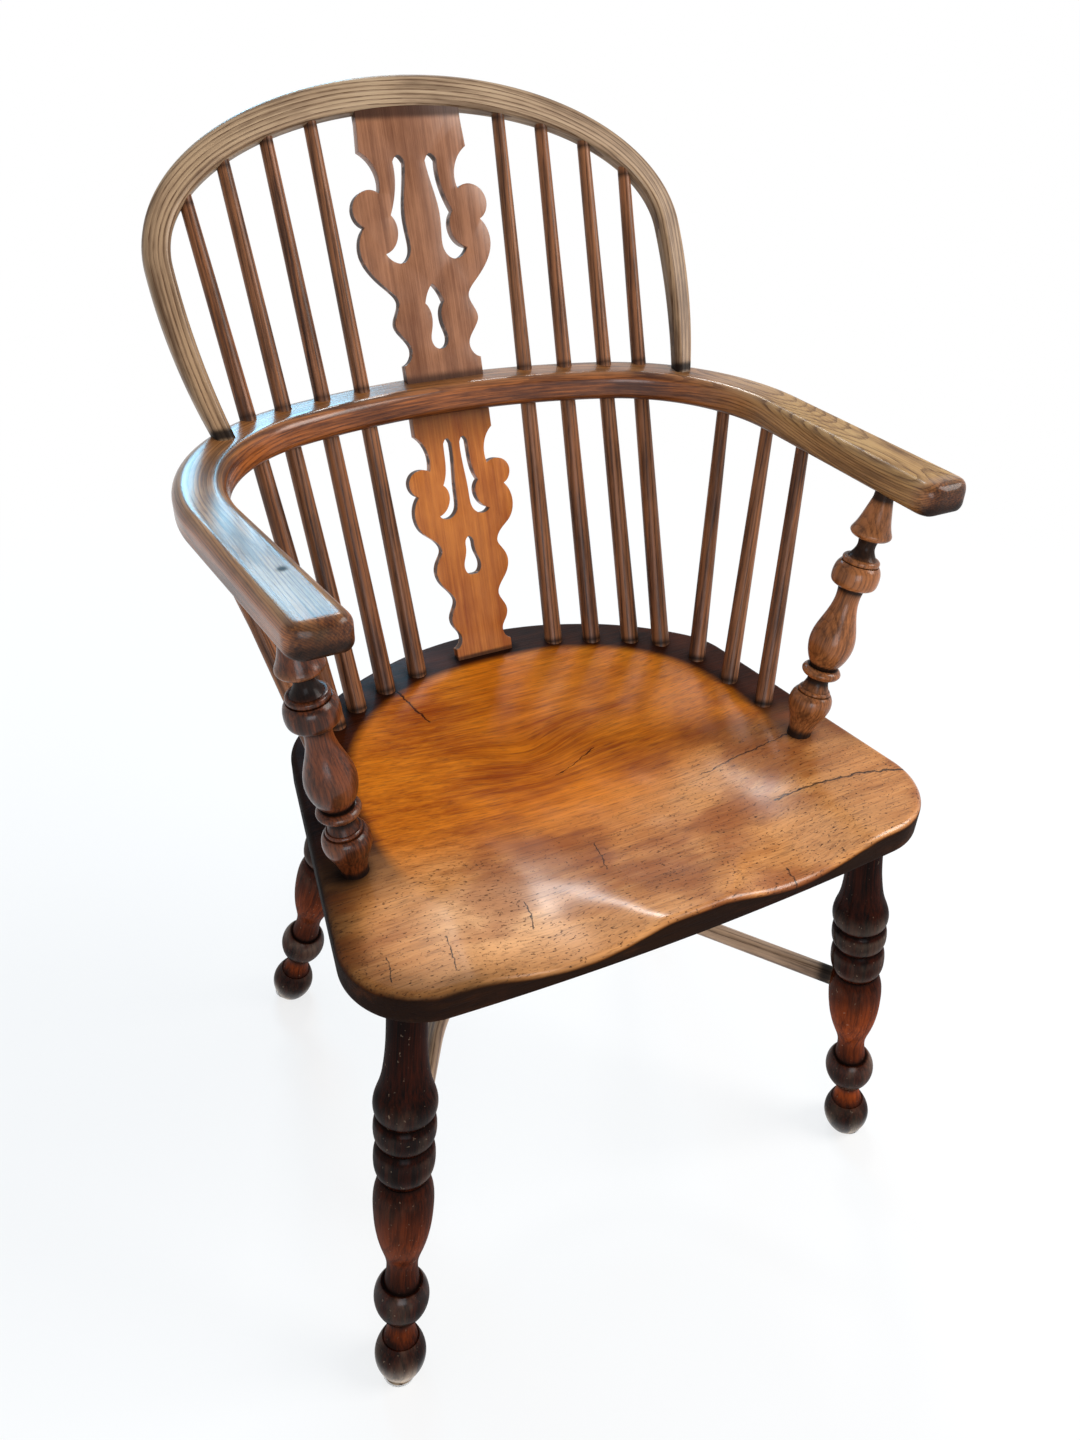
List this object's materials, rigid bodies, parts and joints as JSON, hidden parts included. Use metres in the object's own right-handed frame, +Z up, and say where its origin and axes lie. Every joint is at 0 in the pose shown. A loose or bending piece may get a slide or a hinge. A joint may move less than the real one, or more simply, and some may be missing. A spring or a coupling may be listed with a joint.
{
  "type": "windsor armchair",
  "caption": "Double-bow windsor armchair with a saddled plank seat, bent arm bow and back hoop, fretted splats, spindles and turned legs.",
  "frame": {"origin": "on the floor under the middle of the chair's bounding box", "axes": "+Z up, +Y from the front of the seat to its back, +X to the right for someone who faces the chair"},
  "size_m": [0.5556, 0.5742, 0.9216],
  "materials": {
    "seat_elm": "worn, waxed and polished",
    "arm_ash": "worn, waxed and polished",
    "hoop_ash": "worn, waxed and polished",
    "upper_splat_wood": "worn, waxed and polished",
    "lower_splat_wood": "worn, waxed and polished",
    "stretcher_wood": "worn, waxed and polished",
    "spindle_wood": "worn, waxed and polished",
    "support_wood": "worn, waxed and polished",
    "leg_wood": "worn, waxed and polished"
  },
  "bodies": {
    "root": {"arm_bow": "arm_ash", "arm_spindle_left_1": "spindle_wood", "arm_spindle_left_2": "spindle_wood", "arm_spindle_left_3": "spindle_wood", "arm_spindle_right_1": "spindle_wood", "arm_spindle_right_2": "spindle_wood", "arm_spindle_right_3": "spindle_wood", "arm_support_left": "support_wood", "arm_support_right": "support_wood", "back_hoop": "hoop_ash", "front_left_leg": "leg_wood", "front_right_leg": "leg_wood", "long_spindle_left_1": "spindle_wood", "long_spindle_left_2": "spindle_wood", "long_spindle_left_3": "spindle_wood", "long_spindle_left_4": "spindle_wood", "long_spindle_right_1": "spindle_wood", "long_spindle_right_2": "spindle_wood", "long_spindle_right_3": "spindle_wood", "long_spindle_right_4": "spindle_wood", "lower_splat": "lower_splat_wood", "rear_left_leg": "leg_wood", "rear_right_leg": "leg_wood", "rear_stretcher_left": "stretcher_wood", "rear_stretcher_right": "stretcher_wood", "seat": "seat_elm", "stretcher_bow": "stretcher_wood", "upper_splat": "upper_splat_wood"}
  },
  "joints": []
}
